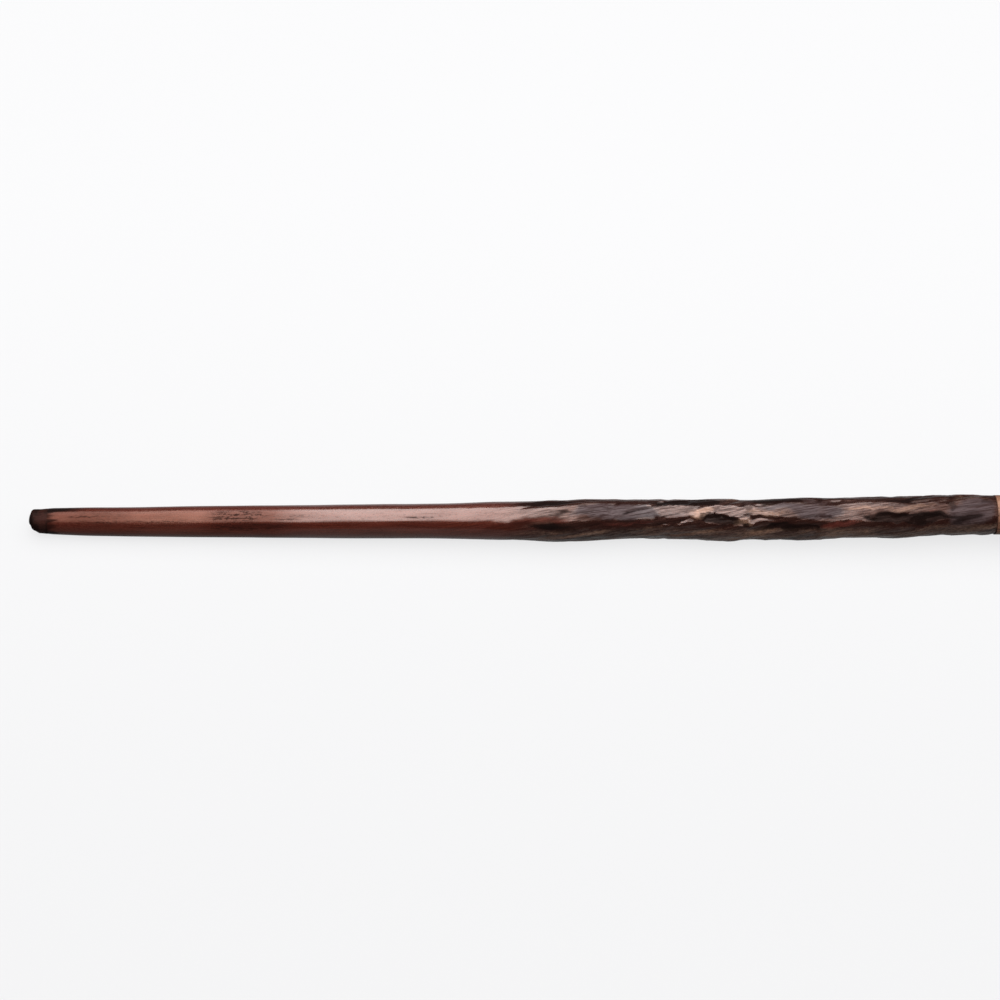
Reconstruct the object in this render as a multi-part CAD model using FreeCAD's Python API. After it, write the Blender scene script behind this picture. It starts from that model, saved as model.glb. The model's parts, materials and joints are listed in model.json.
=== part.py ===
import FreeCAD, Part

# A magic wand of carved hardwood, lying on a flat surface: capped tip, carved shaft, turned front
# collar, lobed grip, turned rear collar and six-sided pommel, on a steel core rod. Millimetres.
#
# Each piece is made in the wand's own frame, with X along its axis from the tip, and is then laid
# down. In the laid frame +X runs from the tip to the pommel, +Z is up, and the origin is on the
# surface, under the middle of the wand.

import math
import os

from FreeCAD import Rotation, Vector

# Driving dimensions: places along the axis, counted from the tip
CAP_END = 5.4
SHAFT_END = 260.4
COLLAR_END = 271.0
GRIP_END = 338.0
REAR_COLLAR_END = 344.5
WAND_LENGTH = 360.0

# The shaft's outline: place, radius, and how far the heart of the branch strays sideways
SHAFT_OUTLINE = (
    (CAP_END, 3.45, 0.0),
    (14.0, 3.75, 0.2),
    (30.0, 3.95, 0.45),
    (50.0, 4.2, 0.55),
    (75.0, 4.4, 0.75),
    (95.0, 4.6, 0.8),
    (112.0, 4.7, 0.9),
    (124.0, 5.05, 0.95),
    (134.0, 5.2, 1.1),
    (144.0, 5.6, 1.15),
    (155.0, 5.35, 0.8),
    (165.0, 5.15, 0.6),
    (176.0, 5.25, 0.75),
    (187.0, 5.65, 1.15),
    (197.0, 5.4, 1.1),
    (208.0, 5.65, 1.0),
    (219.0, 5.4, 0.8),
    (233.0, 5.6, 0.7),
    (243.0, 5.4, 0.25),
    (252.0, 5.25, 0.0),
    (SHAFT_END, 5.3, 0.0),
)
BELLY_PLACE = 144.0
BELLY_RADIUS = 5.6

# The carved half of the shaft: three shallow roots that wind slowly round each other
CARVING_START = 112.0
CARVING_FULL = 150.0
CARVING_DEPTH = 0.035
CARVED_ROOTS = 3
CARVED_TWIST = math.radians(3.2)

CAP_RADIUS = 3.3
CAP_DOME = 0.7
CAP_DOME_RISE = 0.15
CAP_EDGE = 0.75
CAP_EDGE_RISE = 0.18
PEG_RADIUS = 1.5
PEG_LENGTH = 7.0

TENON_RADIUS = 3.2
TENON_LENGTH = 24.0

CORE_RADIUS = 1.5
CORE_START = 40.0
CORE_END = 352.5

# The front collar: a nose as thick as the shaft, a plain land that a stand's ring seats on, and a flange
NOSE_RADIUS = 5.35
NOSE_LENGTH = 2.4
COVE_DEPTH = 0.3
SEAT_RADIUS = 6.9
SEAT_START = 264.4
SEAT_END = 269.4
FLANGE_RADIUS = 7.3
FLANGE_ROUND = 0.2

# The grip: place and lobe radius
GRIP_OUTLINE = (
    (COLLAR_END, 6.4),
    (275.0, 6.15),
    (284.0, 6.5),
    (300.0, 7.3),
    (312.0, 7.4),
    (326.0, 6.7),
    (334.0, 6.2),
    (GRIP_END, 6.4),
)
GRIP_LOBES = 6
LOBE_DEPTH = 0.09
GRIP_TWIST = math.radians(9.0)

# The rear collar: a bead between two narrow fillets
BEAD_RISE = 0.9
REAR_FILLET_RADIUS = 6.3
REAR_FILLET_LENGTH = 1.4

POMMEL_FLAT_RADIUS = 8.5
POMMEL_BARREL_RADIUS = 9.4
POMMEL_NECK_RADIUS = 6.6
POMMEL_END_RADIUS = 7.0
POMMEL_FRONT_LENGTH = 4.5
POMMEL_FRONT_RISE = 0.6
POMMEL_BACK_LENGTH = 4.0
POMMEL_BACK_RISE = 0.4
POMMEL_SIDES = 6
POMMEL_EDGE_FILLET = 1.6

INSERT_RADIUS = 3.0
INSERT_LENGTH = 8.5
INSERT_GROOVE_DEPTH = 0.35
INSERT_GROOVE_WIDTH = 1.2
INSERT_GROOVES = (2.2, 5.2)

GLUE_GAP = 0.05
PRESS_GAP = 0.01
BORE_SPARE = 0.5
ROD_BEVEL = 0.4
POINTS_AROUND = 24
SECTION_SPACING = 5.0
MESH_STEP = 0.02

X_AXIS = Vector(1, 0, 0)


def rod(radius, start, end):
    """A round rod on the wand's axis."""
    return Part.makeCylinder(radius, end - start, Vector(start, 0, 0), X_AXIS)


def turned(outline):
    """The solid turned about the wand's axis under an open outline of edges in the XY plane."""
    first = outline[0].Vertexes[0].Point
    last = outline[-1].Vertexes[-1].Point
    closing = Part.makePolygon([last, Vector(last.x, 0, 0), Vector(first.x, 0, 0), first])
    face = Part.Face(Part.Wire(outline + closing.Edges))
    return face.revolve(Vector(0, 0, 0), X_AXIS, 360)


def line(start, end):
    """A straight stretch of a turned outline, between two (place, radius) points."""
    return Part.makeLine(Vector(*start, 0), Vector(*end, 0))


def bulge(start, end, rise):
    """A round stretch of a turned outline, whose middle stands out from its chord by rise."""
    chord = Vector(*end, 0) - Vector(*start, 0)
    outward = Vector(-chord.y, chord.x, 0).normalize()
    middle = Vector(*start, 0) + chord * 0.5 + outward * rise
    return Part.Arc(Vector(*start, 0), middle, Vector(*end, 0)).toShape()


def ring_section(place, radius_at, sideways=0.0):
    """A closed smooth outline across the axis at a place, with its radius given by direction."""
    points = []
    for step in range(POINTS_AROUND):
        turn = 2 * math.pi * step / POINTS_AROUND
        radius = radius_at(turn)
        points.append(Vector(place, radius * math.cos(turn) - sideways, radius * math.sin(turn)))
    curve = Part.BSplineCurve()
    curve.interpolate(Points=points, PeriodicFlag=True)
    return Part.Wire([curve.toShape()])


def outline_at(outline, place):
    """The values of an outline at a place, on smooth cubic curves through its points."""
    last = len(outline) - 1
    left = max(index for index in range(last) if outline[index][0] <= place)
    right = left + 1

    def slope(index, column):
        before, after = outline[max(index - 1, 0)], outline[min(index + 1, last)]
        return (after[column] - before[column]) / (after[0] - before[0])

    width = outline[right][0] - outline[left][0]
    t = (place - outline[left][0]) / width
    values = []
    for column in range(1, len(outline[0])):
        values.append(
            (2 * t**3 - 3 * t**2 + 1) * outline[left][column]
            + (t**3 - 2 * t**2 + t) * width * slope(left, column)
            + (3 * t**2 - 2 * t**3) * outline[right][column]
            + (t**3 - t**2) * width * slope(right, column)
        )
    return values


def lofted(outline, radius_rule):
    """The closed solid through evenly spaced cross-sections of an outline."""
    start, end = outline[0][0], outline[-1][0]
    count = round((end - start) / SECTION_SPACING)
    sections = []
    for step in range(count + 1):
        place = start + (end - start) * step / count
        radius, *stray = outline_at(outline, place)
        sections.append(ring_section(place, radius_rule(place, radius), *stray))
    return Part.makeLoft(sections, True, False)


def carved_radius(place, radius):
    """How the shaft's radius changes with direction: round in front, three roots where it is carved.

    At the belly one root points straight down, and the wand rests on it.
    """
    share = (place - CARVING_START) / (CARVING_FULL - CARVING_START)
    depth = CARVING_DEPTH * min(max(share, 0.0), 1.0)
    twist = CARVED_TWIST * (place - BELLY_PLACE) + CARVED_ROOTS * math.pi / 2
    return lambda turn: radius * (1 - depth * (0.5 - 0.5 * math.cos(CARVED_ROOTS * turn + twist)))


def lobed_radius(place, radius):
    """How the grip's radius changes with direction: six lobes that lean one way, then the other."""
    along = (place - COLLAR_END) / (GRIP_END - COLLAR_END)
    twist = GRIP_LOBES * GRIP_TWIST * math.sin(2 * math.pi * along)
    ends_fade = min(1.0, 6 * along, 6 * (1 - along))
    depth = LOBE_DEPTH * ends_fade
    return lambda turn: radius * (1 - depth * (0.5 - 0.5 * math.cos(GRIP_LOBES * turn + twist)))


def tip_cap():
    """The dark domed cap, with the peg that holds it in the shaft."""
    dome_edge = (CAP_DOME, CAP_RADIUS - CAP_EDGE)
    side_start = (CAP_DOME + CAP_EDGE, CAP_RADIUS)
    outline = [
        bulge((0, 0), dome_edge, CAP_DOME_RISE),
        bulge(dome_edge, side_start, CAP_EDGE_RISE),
        line(side_start, (CAP_END, CAP_RADIUS)),
    ]
    return turned(outline).fuse(rod(PEG_RADIUS, CAP_END, CAP_END + PEG_LENGTH)).removeSplitter()


def shaft():
    """The carved shaft, with its rear tenon, the bore for the cap's peg and the bore for the core rod."""
    body = lofted(SHAFT_OUTLINE, carved_radius)
    tenon_end = SHAFT_END + TENON_LENGTH
    body = body.fuse(rod(TENON_RADIUS, SHAFT_END - SECTION_SPACING, tenon_end))
    body = body.cut(rod(PEG_RADIUS + GLUE_GAP, CAP_END, CAP_END + PEG_LENGTH + BORE_SPARE))
    return body.cut(rod(CORE_RADIUS + GLUE_GAP, CORE_START - BORE_SPARE, tenon_end))


def core_rod():
    """The steel rod through shaft, grip and pommel, with chamfered ends."""
    return turned([
        line((CORE_START, CORE_RADIUS - ROD_BEVEL), (CORE_START + ROD_BEVEL, CORE_RADIUS)),
        line((CORE_START + ROD_BEVEL, CORE_RADIUS), (CORE_END - ROD_BEVEL, CORE_RADIUS)),
        line((CORE_END - ROD_BEVEL, CORE_RADIUS), (CORE_END, CORE_RADIUS - ROD_BEVEL)),
    ])


def front_collar():
    """The turned collar between shaft and grip."""
    nose_end = (SHAFT_END + NOSE_LENGTH, NOSE_RADIUS)
    seat_start = (SEAT_START, SEAT_RADIUS)
    seat_end = (SEAT_END, SEAT_RADIUS)
    flange_start = (SEAT_END, FLANGE_RADIUS - FLANGE_ROUND)
    flange_end = (COLLAR_END, FLANGE_RADIUS - FLANGE_ROUND)
    body = turned([
        line((SHAFT_END, NOSE_RADIUS), nose_end),
        bulge(nose_end, seat_start, -COVE_DEPTH),
        line(seat_start, seat_end),
        line(seat_end, flange_start),
        bulge(flange_start, flange_end, FLANGE_ROUND),
    ])
    return body.cut(rod(TENON_RADIUS + GLUE_GAP, SHAFT_END, COLLAR_END))


def grip():
    """The lobed grip, with the socket for the shaft's tenon and the bore for the core rod."""
    body = lofted(GRIP_OUTLINE, lobed_radius)
    body = body.cut(rod(TENON_RADIUS + GLUE_GAP, COLLAR_END, SHAFT_END + TENON_LENGTH + BORE_SPARE))
    return body.cut(rod(CORE_RADIUS + GLUE_GAP, COLLAR_END, GRIP_END))


def rear_collar():
    """The turned bead between grip and pommel, with a narrow fillet at each end."""
    bead_start = (GRIP_END + REAR_FILLET_LENGTH, REAR_FILLET_RADIUS)
    bead_end = (REAR_COLLAR_END - REAR_FILLET_LENGTH, REAR_FILLET_RADIUS)
    body = turned([
        line((GRIP_END, REAR_FILLET_RADIUS), bead_start),
        bulge(bead_start, bead_end, BEAD_RISE),
        line(bead_end, (REAR_COLLAR_END, REAR_FILLET_RADIUS)),
    ])
    return body.cut(rod(CORE_RADIUS + GLUE_GAP, GRIP_END, REAR_COLLAR_END))


def six_sided_bar(start, end):
    """A six-sided bar on the wand's axis with rounded long edges and one flat underneath."""
    corner_radius = POMMEL_FLAT_RADIUS / math.cos(math.pi / POMMEL_SIDES)
    corners = []
    for side in range(POMMEL_SIDES + 1):
        turn = 2 * math.pi * side / POMMEL_SIDES
        corners.append(Vector(start, corner_radius * math.cos(turn), corner_radius * math.sin(turn)))
    bar = Part.Face(Part.makePolygon(corners)).extrude(Vector(end - start, 0, 0))
    long_edges = [edge for edge in bar.Edges if edge.BoundBox.XLength > 1]
    return bar.makeFillet(POMMEL_EDGE_FILLET, long_edges)


def pommel():
    """The pommel: a barrel cut by six flats, one of them underneath, with the insert's pocket."""
    barrel_front = (REAR_COLLAR_END + POMMEL_FRONT_LENGTH, POMMEL_BARREL_RADIUS)
    barrel_back = (WAND_LENGTH - POMMEL_BACK_LENGTH, POMMEL_BARREL_RADIUS)
    barrel = turned([
        bulge((REAR_COLLAR_END, POMMEL_NECK_RADIUS), barrel_front, POMMEL_FRONT_RISE),
        line(barrel_front, barrel_back),
        bulge(barrel_back, (WAND_LENGTH, POMMEL_END_RADIUS), POMMEL_BACK_RISE),
    ])
    pocket_end = REAR_COLLAR_END + INSERT_LENGTH
    body = barrel.common(six_sided_bar(REAR_COLLAR_END, WAND_LENGTH))
    return body.cut(rod(INSERT_RADIUS + PRESS_GAP, REAR_COLLAR_END, pocket_end))


def pommel_insert():
    """The grooved brass bush in the pommel, which takes the core rod's end."""
    insert_end = REAR_COLLAR_END + INSERT_LENGTH
    bush = rod(INSERT_RADIUS, REAR_COLLAR_END, insert_end)
    groove_floor = INSERT_RADIUS - INSERT_GROOVE_DEPTH
    for place in INSERT_GROOVES:
        start = REAR_COLLAR_END + place
        end = start + INSERT_GROOVE_WIDTH
        ring = rod(POMMEL_FLAT_RADIUS, start, end).cut(rod(groove_floor, start, end))
        bush = bush.cut(ring)
    return bush.cut(rod(CORE_RADIUS + PRESS_GAP, REAR_COLLAR_END, insert_end))


def laid_down(pieces):
    """Lays the pieces on the surface, on the shaft's belly and a flat of the pommel."""
    belly = Vector(BELLY_PLACE, 0, -BELLY_RADIUS)
    slopes = [
        (belly.z - point.z) / (point.x - belly.x)
        for point in pieces["pommel"].tessellate(MESH_STEP)[0]
    ]
    lay = math.degrees(math.atan(max(slopes)))
    for shape in pieces.values():
        shape.rotate(Vector(0, 0, 0), Vector(0, 1, 0), -lay)
    points = [point for shape in pieces.values() for point in shape.tessellate(MESH_STEP)[0]]
    lows = [min(point[axis] for point in points) for axis in range(3)]
    highs = [max(point[axis] for point in points) for axis in range(3)]
    shift = Vector(-(lows[0] + highs[0]) / 2, -(lows[1] + highs[1]) / 2, -lows[2])
    for shape in pieces.values():
        shape.translate(shift)
    return lay, shift


def main():
    pieces = {
        "tip_cap": tip_cap(),
        "shaft": shaft(),
        "core_rod": core_rod(),
        "front_collar": front_collar(),
        "grip": grip(),
        "rear_collar": rear_collar(),
        "pommel": pommel(),
        "pommel_insert": pommel_insert(),
    }
    lay, shift = laid_down(pieces)
    tilt = Rotation(Vector(0, 1, 0), -lay)
    print("axis direction", tilt.multVec(X_AXIS))
    print("seat centre", tilt.multVec(Vector((SEAT_START + SEAT_END) / 2, 0, 0)) + shift)
    print("pommel end", tilt.multVec(Vector(WAND_LENGTH, 0, 0)) + shift)
    os.makedirs("parts", exist_ok=True)
    for name, shape in pieces.items():
        print(name, "valid", shape.isValid(), "solids", len(shape.Solids), "volume", round(shape.Volume, 1))
        shape.exportStep(f"parts/{name}.step")


main()
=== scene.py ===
# The looks of the carved wooden magic wand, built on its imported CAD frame.
# Each wooden piece gets a finely carved skin in place of its plain CAD solid, and the steel rod and
# the brass bush keep theirs. Names that end in _MM hold millimetres, and other lengths are metres.
# Angles are degrees, and turns round the wand are radians.

import json
import math
from collections import namedtuple

import bmesh
import bpy
import numpy as np
from mathutils import Euler, Matrix, Vector
from mathutils.bvhtree import BVHTree


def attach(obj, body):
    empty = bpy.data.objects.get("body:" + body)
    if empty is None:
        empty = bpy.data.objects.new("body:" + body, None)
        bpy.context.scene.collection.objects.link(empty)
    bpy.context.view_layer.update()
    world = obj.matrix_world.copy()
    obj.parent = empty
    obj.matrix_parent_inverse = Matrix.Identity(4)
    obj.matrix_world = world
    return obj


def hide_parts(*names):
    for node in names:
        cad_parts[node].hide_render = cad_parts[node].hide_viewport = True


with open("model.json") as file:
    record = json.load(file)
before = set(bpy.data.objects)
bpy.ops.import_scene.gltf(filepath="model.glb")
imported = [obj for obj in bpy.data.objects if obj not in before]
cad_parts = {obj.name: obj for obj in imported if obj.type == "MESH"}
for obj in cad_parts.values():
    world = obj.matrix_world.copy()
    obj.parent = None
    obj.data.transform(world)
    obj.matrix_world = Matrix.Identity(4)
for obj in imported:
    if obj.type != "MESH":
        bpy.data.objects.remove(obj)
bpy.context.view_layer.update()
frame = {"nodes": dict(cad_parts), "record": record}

MM = 0.001

# The view that the picture was taken from: its angles and lens, how wide a stretch it takes in, and
# where its middle lies along the wand and above it
VIEW_ELEVATION = 50.0
VIEW_LENS = 85.0
VIEW_SENSOR = 36.0
VIEW_WIDTH = 0.270
VIEW_MIDDLE_MM = 127.4
VIEW_ABOVE_MM = 4.9
VIEW_ROLL = 0.143

# Grid of a skin: points round it, how far apart its rings are, and how many the short ends get
AROUND = 96
FRONT_STEP = 0.45 * MM
CARVED_STEP = 0.2 * MM
GRIP_STEP = 0.25 * MM
POMMEL_STEP = 0.12 * MM
COLLAR_STEP = 0.1 * MM
CAP_RINGS = 70
END_FACE_RINGS = 40
TURNS = np.linspace(0, 2 * math.pi, AROUND, endpoint=False)

# Rays measure the CAD pieces: where they start from, how far inside a piece's ends the first and last
# ring is measured, and how far apart and how many rings are measured at least where they are blurred
RAY_START = 30 * MM
INSIDE = 0.01 * MM
MEASURE_STEP = 1.0 * MM
FEWEST_MEASURED = 12

# Holes run on past what goes into them, and pegs have bevelled ends
HOLE_SPARE = 0.5 * MM
BEVEL = 0.3 * MM
TENON_BEVEL_LENGTH = 0.4 * MM

# The shaft from the tip: where its carving starts and where it is full, how far back its knots go,
# where it rests, and how fast its grain winds round, in degrees per mm
CARVING_START_MM = 112.0
CARVING_FULL_MM = 150.0
LAST_KNOT_MM = 255.0
BELLY_PLACE_MM = 144.0
GRAIN_TWIST = 1.6

# How far the carving may sink and rise, and where the grip's knots lie
SHAFT_HEIGHTS_MM = (-1.0, 0.35)
GRIP_HEIGHTS_MM = (-0.8, 0.12)
GRIP_KNOTS_MM = (278.0, 330.0)

# The tip cap's dome: how its rings crowd towards the tip, and its first ring's radius
CAP_CROWDING = 1.6
CAP_FIRST_RADIUS = 0.15 * MM

# Edges sharper than this stay crisp in the shading
SHARP_ANGLE = 40.0
CAP_SHARP_ANGLE = 60.0

# Tool marks: how far apart the collars' rings are, and the pommel end's rounded edge, rings and
# centre dimple, whose floor and rim are shares of the end's radius
COLLAR_RING_PITCH_MM = 0.45
END_ROUNDING = 0.25 * MM
END_TOOL_RINGS = 12
END_RING_DEPTH_MM = 0.03
DIMPLE = (0.08, 0.28)
DIMPLE_DEPTH_MM = 0.5


# --- The wand's own frame: its axis from the tip, and directions across it ---

MOUNTS = {mount["name"]: mount for mount in frame["record"]["mounts"]}
AXIS = np.array(MOUNTS["pommel_end"]["axis"])
REAR = np.array(MOUNTS["pommel_end"]["pos_m"])
SIDE = np.array((0.0, 1.0, 0.0))
LIFT = np.cross(AXIS, SIDE)


def points_of(node):
    """A CAD node's points."""
    mesh = frame["nodes"][node].data
    flat = np.empty(3 * len(mesh.vertices))
    mesh.vertices.foreach_get("co", flat)
    return flat.reshape(-1, 3)


TIP = REAR - AXIS * np.max((REAR - points_of("tip_cap")) @ AXIS)


def span(node):
    """Where a CAD node starts and ends along the axis, counted from the tip."""
    places = (points_of(node) - TIP) @ AXIS
    return places.min(), places.max()


def radius_in(node, start, end, pick):
    """The largest or smallest distance from the axis of a CAD node's points between two places."""
    points = points_of(node) - TIP
    places = points @ AXIS
    distances = np.linalg.norm(points - np.outer(places, AXIS), axis=1)
    return pick(distances[(places > start) & (places < end)])


CAP_START, PEG_END = span("tip_cap")
SHAFT_START, TENON_END = span("shaft")
COLLAR_START, COLLAR_END = span("front_collar")
GRIP_START, GRIP_END = span("grip")
REAR_COLLAR_START, REAR_COLLAR_END = span("rear_collar")
POMMEL_START, POMMEL_END = span("pommel")
CORE_START = span("core_rod")[0]
INSERT_END = span("pommel_insert")[1]

PEG_RADIUS = radius_in("tip_cap", SHAFT_START + INSIDE, PEG_END + INSIDE, np.max)
TENON_RADIUS = radius_in("shaft", COLLAR_START + INSIDE, TENON_END + INSIDE, np.max)
CORE_BORE = radius_in("shaft", CORE_START, TENON_END + INSIDE, np.min)
PEG_BORE = radius_in("shaft", SHAFT_START - INSIDE, PEG_END + MM, np.min)
PEG_BORE_END = PEG_END + HOLE_SPARE
CORE_BORE_START = CORE_START - HOLE_SPARE
SOCKET_RADIUS = radius_in("front_collar", COLLAR_START - INSIDE, COLLAR_END + INSIDE, np.min)
SOCKET_END = TENON_END + HOLE_SPARE
POCKET_RADIUS = radius_in("pommel", POMMEL_START - INSIDE, INSERT_END, np.min)


# --- Skins: grids of rings round the axis, taken from the CAD pieces by rays ---

def placed(places, radii, hearts):
    """Points of rings: places (rings), radii (rings x turns) and hearts (rings x 2) across the axis."""
    across = hearts[:, :1] + radii * np.cos(TURNS)
    up = hearts[:, 1:] + radii * np.sin(TURNS)
    return (
        TIP
        + places[:, None, None] * AXIS
        + across[:, :, None] * SIDE
        + up[:, :, None] * LIFT
    )


def surface_of(node):
    """A CAD piece's surface, for rays."""
    return BVHTree.FromObject(frame["nodes"][node], bpy.context.evaluated_depsgraph_get())


def cast_ring(surface, place, heart):
    """The radii of one ring about its heart, by rays cast inward on a CAD piece."""
    middle = TIP + place * AXIS + heart[0] * SIDE + heart[1] * LIFT
    radii = []
    for turn in TURNS:
        outward = math.cos(turn) * SIDE + math.sin(turn) * LIFT
        hit = surface.ray_cast(Vector(middle + outward * RAY_START), Vector(-outward), RAY_START)
        radii.append(RAY_START - hit[3])
    return np.array(radii)


def cast_rings(node, places, hearts):
    """The radii of a CAD piece's rings about their hearts."""
    surface = surface_of(node)
    return np.array([cast_ring(surface, place, heart) for place, heart in zip(places, hearts)])


def cast_skin(node, places):
    """Hearts and radii of a CAD piece's skin. A second pass measures the radii about each ring's heart."""
    hearts = np.zeros((len(places), 2))
    radii = cast_rings(node, places, hearts)
    hearts[:, 0] = 2 * (radii * np.cos(TURNS)).mean(axis=1)
    hearts[:, 1] = 2 * (radii * np.sin(TURNS)).mean(axis=1)
    return hearts, cast_rings(node, places, hearts)


def spread_to(places, known_places, values):
    """Values known at some places, carried over to others, column by column."""
    columns = [np.interp(places, known_places, column) for column in values.T]
    return np.array(columns).T


def blurred(values, rows, turns):
    """A grid blurred over so many rows, with its ends held, and so many turn steps, going round."""
    for axis, amount, mode in ((0, rows, "edge"), (1, turns, "wrap")):
        if not amount:
            continue
        reach = int(3 * amount)
        pads = [(0, 0), (0, 0)]
        pads[axis] = (reach, reach)
        padded = np.pad(values, pads, mode=mode)
        weights = np.exp(-0.5 * (np.arange(-reach, reach + 1) / amount) ** 2)
        weights /= weights.sum()
        length = values.shape[axis]
        values = sum(
            weight * np.take(padded, range(index, index + length), axis=axis)
            for index, weight in enumerate(weights)
        )
    return values


def smooth_skin(node, places, blur_rows, blur_turns):
    """A CAD piece's skin at places: measured about every millimetre, blurred, and spread to the places."""
    start, end = places[0] + INSIDE, places[-1] - INSIDE
    known = np.linspace(start, end, max(FEWEST_MEASURED, round((end - start) / MEASURE_STEP) + 1))
    hearts, radii = cast_skin(node, known)
    radii = blurred(radii, blur_rows, blur_turns)
    hearts = blurred(hearts, blur_rows, 0)
    return spread_to(places, known, hearts), spread_to(places, known, radii)


def centred_skin(node, places):
    """A CAD piece's skin as measured at places, about the wand's axis."""
    hearts = np.zeros((len(places), 2))
    inside = np.clip(places, places[0] + INSIDE, places[-1] - INSIDE)
    return hearts, cast_rings(node, inside, hearts)


def turned_skin(node, places):
    """The skin of a turned CAD piece, which has the same radius all the way round."""
    hearts, radii = centred_skin(node, places)
    means = np.array([ring.mean() for ring in radii])
    return hearts, np.repeat(means[:, None], AROUND, axis=1)


# --- Carving: heights and masks over a skin, by place (mm from the tip) and facing ---
# Facing is the angle from the picture's camera: 0 towards it, 90 up the picture, 180 away from it.

Grid = namedtuple("Grid", "place facing turn")


def grid_over(places):
    """The grid of a skin's points: place in mm, facing in degrees and turn in radians."""
    place, turn = np.meshgrid(places / MM, TURNS, indexing="ij")
    facing = wrapped(180 - VIEW_ELEVATION - np.degrees(turn))
    return Grid(place, facing, turn)


def wrapped(degrees):
    """Degrees brought to -180 ... 180."""
    return (degrees + 180) % 360 - 180


def eased(value, start, end):
    """0 before start, 1 after end, and smooth between them."""
    share = np.clip((value - start) / (end - start), 0, 1)
    return share * share * (3 - 2 * share)


def noise(grid, length, count, seed, twist=0.0):
    """Smooth seeded noise from -1 to 1, with cells of that length in mm and so many round the wand."""
    rows = grid.place / length
    columns = (grid.turn / (2 * math.pi) + twist * grid.place / 360) * count
    row, column = np.floor(rows).astype(int), np.floor(columns).astype(int)
    first = row.min()
    table = np.random.default_rng(seed).uniform(-1, 1, (row.max() - first + 2, count))
    ahead, aside = eased(rows - row, 0, 1), eased(columns - column, 0, 1)

    def corner(down, right):
        return table[row - first + down, (column + right) % count]

    near = corner(0, 0) * (1 - aside) + corner(0, 1) * aside
    far = corner(1, 0) * (1 - aside) + corner(1, 1) * aside
    return near * (1 - ahead) + far * ahead


def blotchy(grid, length, count, seed, twist=0.0):
    """The same noise, from 0 to 1."""
    return 0.5 + 0.5 * noise(grid, length, count, seed, twist)


Mark = namedtuple("Mark", "place facing half_length half_width slant amount")


def frayed(grid):
    """The grid with its places and facings pushed about, so that marks on it get uneven edges."""
    place = grid.place + 1.3 * noise(grid, 4.0, 9, 5) + 0.5 * noise(grid, 1.3, 24, 6)
    facing = grid.facing + 9 * noise(grid, 5.0, 7, 7) + 4 * noise(grid, 1.6, 22, 8)
    return Grid(place, facing, grid.turn)


def oval(grid, mark):
    """How deep each point is inside a slanted oval mark: 1 at its middle, 0 from its edge on."""
    ahead = grid.place - mark.place
    across = wrapped(grid.facing - mark.facing - mark.slant * ahead)
    return np.clip(1 - (ahead / mark.half_length) ** 2 - (across / mark.half_width) ** 2, 0, 1)


def soft(grid, marks):
    """The sum of soft ovals, each as strong as its amount."""
    return sum(mark.amount * eased(oval(grid, mark), 0, 1) for mark in marks)


def scooped(grid, marks):
    """The sum of ovals with a round floor and a crisp edge."""
    return sum(mark.amount * oval(grid, mark) for mark in marks)


# Marks of the side that the picture shows: place and facing, half length in mm, half width in degrees,
# slant in degrees per mm, and amount, which is mm for shapes and a share for finishes. HOLLOWS and
# CRESTS are shapes. The worn marks lighten the wood and, on crests that the band of light crosses, paint
# its highlight. RUDDY and DULL colour the wood. The sooty marks darken hollows with soot and, along the
# top edge, paint shade, and FLECKS dot the wood with soot. BARE has lost its varnish, RUBBED is where the
# front half's varnish ends below its highlight, and CAP_WEAR rounds the tip's edge off.
HOLLOWS = (
    Mark(187.0, 0, 6.5, 17, -1.6, 0.50),
    Mark(197.0, -30, 6.0, 22, 0.0, 0.35),
    Mark(232.0, 0, 5.0, 20, 0.0, 0.35),
    Mark(241.0, -8, 5.5, 20, 0.0, 0.40),
    Mark(207.0, -22, 7.0, 16, -1.2, 0.30),
    Mark(171.0, -14, 7.0, 18, 0.8, 0.22),
    Mark(152.0, -22, 8.0, 16, 0.3, 0.15),
    Mark(175.0, 64, 9.0, 16, 0.4, 0.30),
    Mark(216.0, 12, 4.0, 14, 1.0, 0.14),
    Mark(216.0, 62, 8.0, 15, -0.5, 0.25),
    Mark(139.0, 62, 9.0, 16, 0.3, 0.20),
    Mark(236.0, 66, 9.0, 15, 0.3, 0.20),
)
CRESTS = (
    Mark(171.5, 43, 8.0, 9, -0.3, 0.30),
    Mark(181.0, 20, 4.0, 22, 1.5, 0.28),
    Mark(192.0, -10, 3.0, 14, 3.0, 0.25),
    Mark(190.0, 36, 10.0, 9, -0.3, 0.28),
    Mark(199.5, 13, 11.0, 11, -1.0, 0.34),
    Mark(221.0, 30, 5.0, 7, -0.6, 0.20),
    Mark(236.0, 32, 14.0, 11, 0.4, 0.30),
    Mark(155.5, 30, 2.6, 9, 1.5, 0.12),
    Mark(169.0, 20, 2.4, 9, 1.5, 0.14),
    Mark(219.5, 2, 2.0, 8, 1.0, 0.15),
)
# Lighter worn wood. The marks at 181 and 224 mm, where the band of light crosses crests, also paint its
# highlight.
WORN_AND_LIT = (
    Mark(181.0, 20, 4.5, 22, 1.5, 1.0),
    Mark(192.0, -4, 3.5, 14, 3.0, 0.6),
    Mark(190.0, 58, 7.0, 14, 0.0, 0.35),
    Mark(198.0, 18, 7.0, 15, -1.0, 0.6),
    Mark(236.0, 28, 13.0, 12, 0.4, 0.5),
    Mark(224.0, 32, 6.0, 9, -0.4, 0.6),
    Mark(131.0, 36, 8.0, 8, 0.0, 0.3),
    Mark(253.0, 55, 7.0, 16, 0.0, 0.4),
)
RUDDY = (
    Mark(218.0, -14, 9.0, 14, 1.2, 0.6),
    Mark(243.0, 2, 2.5, 26, 0.0, 0.5),
    Mark(140.0, 4, 12.0, 16, 0.0, 0.5),
    Mark(162.0, -8, 12.0, 10, 0.0, 0.4),
)
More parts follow.
